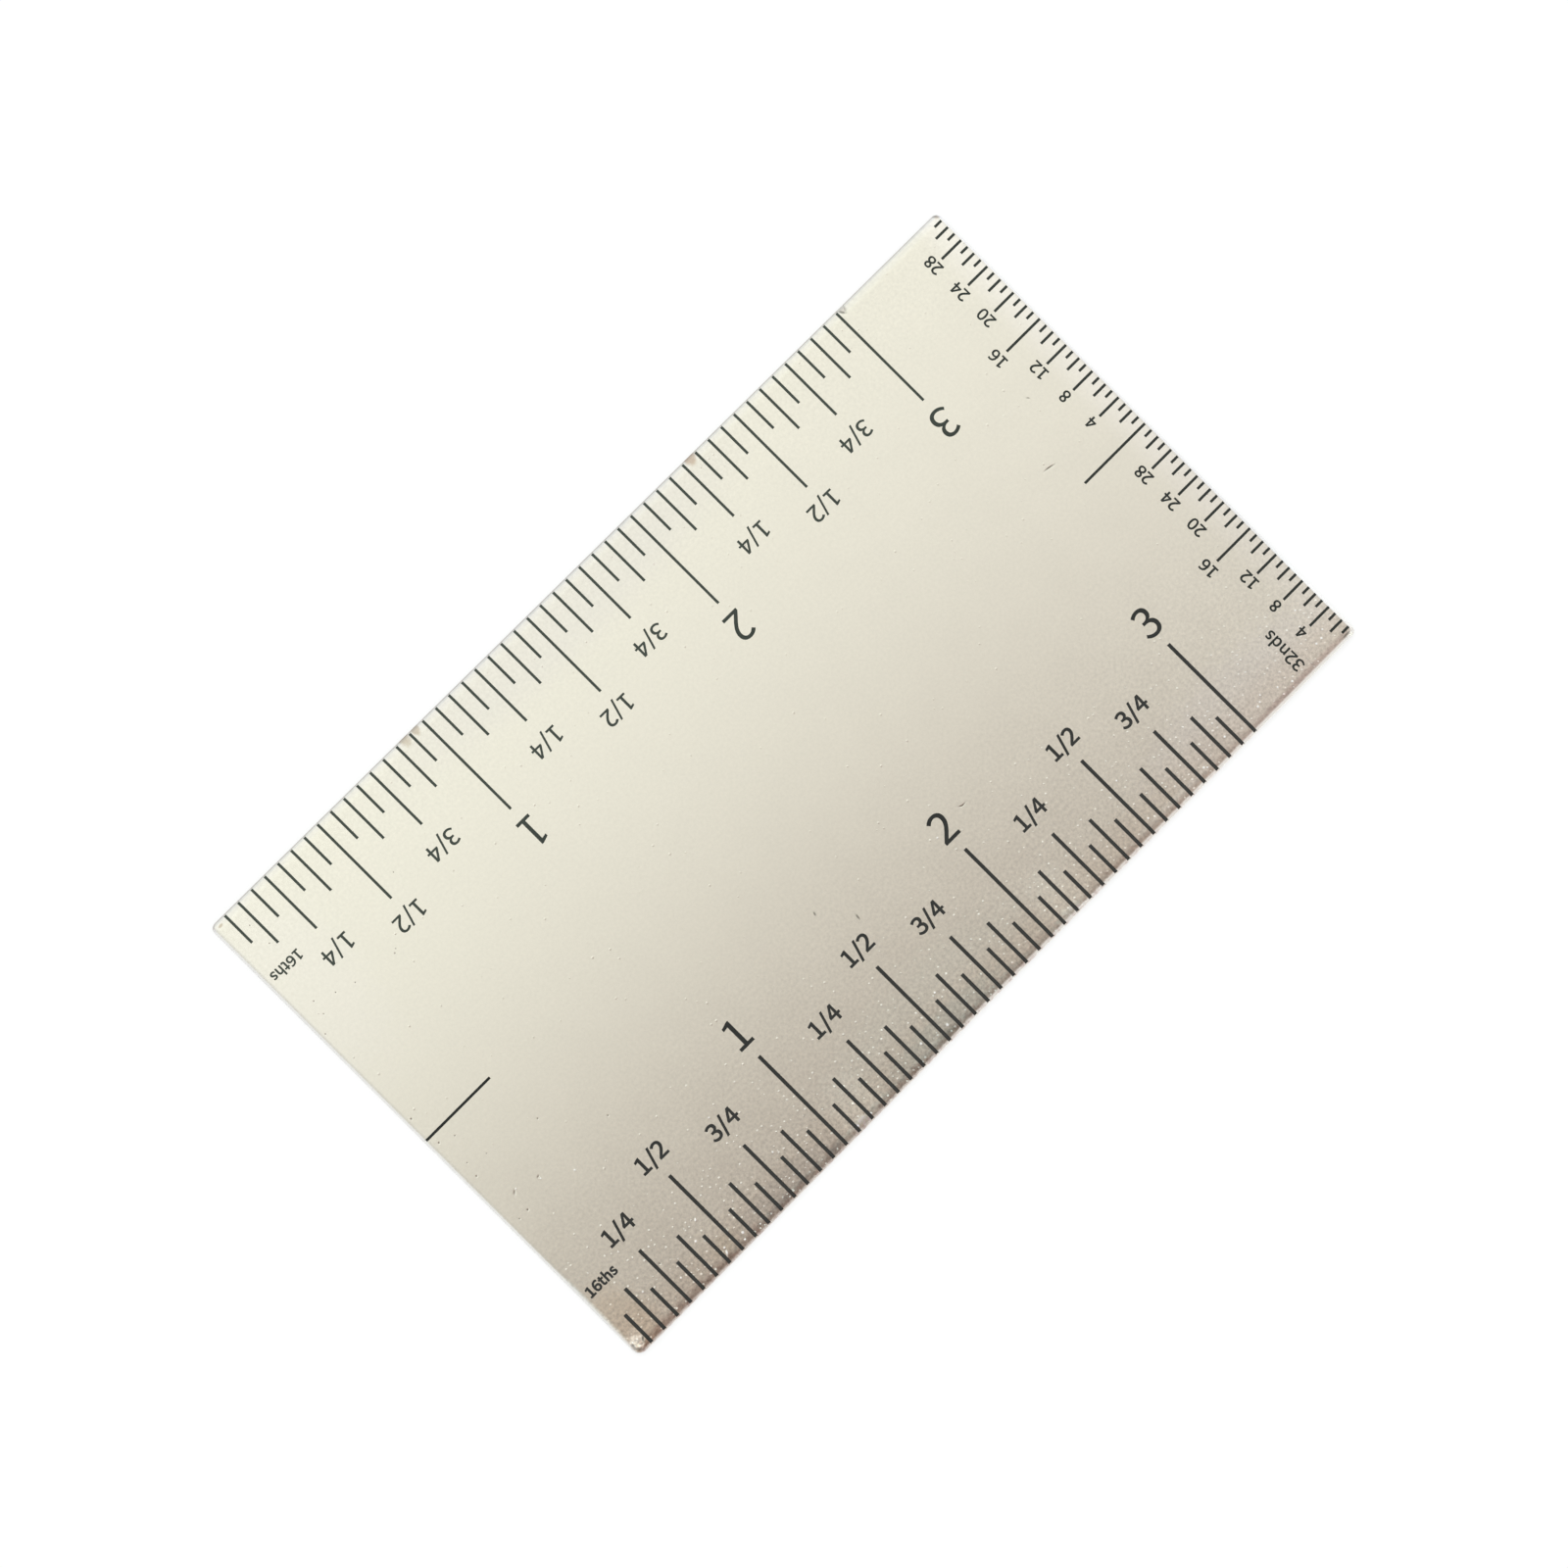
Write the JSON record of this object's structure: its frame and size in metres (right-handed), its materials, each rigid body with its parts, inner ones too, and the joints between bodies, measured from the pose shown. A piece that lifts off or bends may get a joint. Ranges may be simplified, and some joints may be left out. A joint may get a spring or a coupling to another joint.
{
  "type": "pocket steel ruler",
  "caption": "Flat rectangular pocket rule in steel with rounded corners, inch scales in sixteenths on both long edges and in thirty-seconds on one short edge.",
  "frame": {"origin": "centre of the flat underside", "axes": "+X along the plate's length towards the end scale, +Y across it towards the upper long edge, +Z out of the marked face"},
  "size_m": [0.0888, 0.0508, 0.0006],
  "materials": {
    "steel": "satin, lightly worn",
    "black_fill": "matt black fill in the lines and figures"
  },
  "bodies": {
    "root": {"ruler_plate": "steel", "line_fill": "black_fill"}
  },
  "joints": []
}
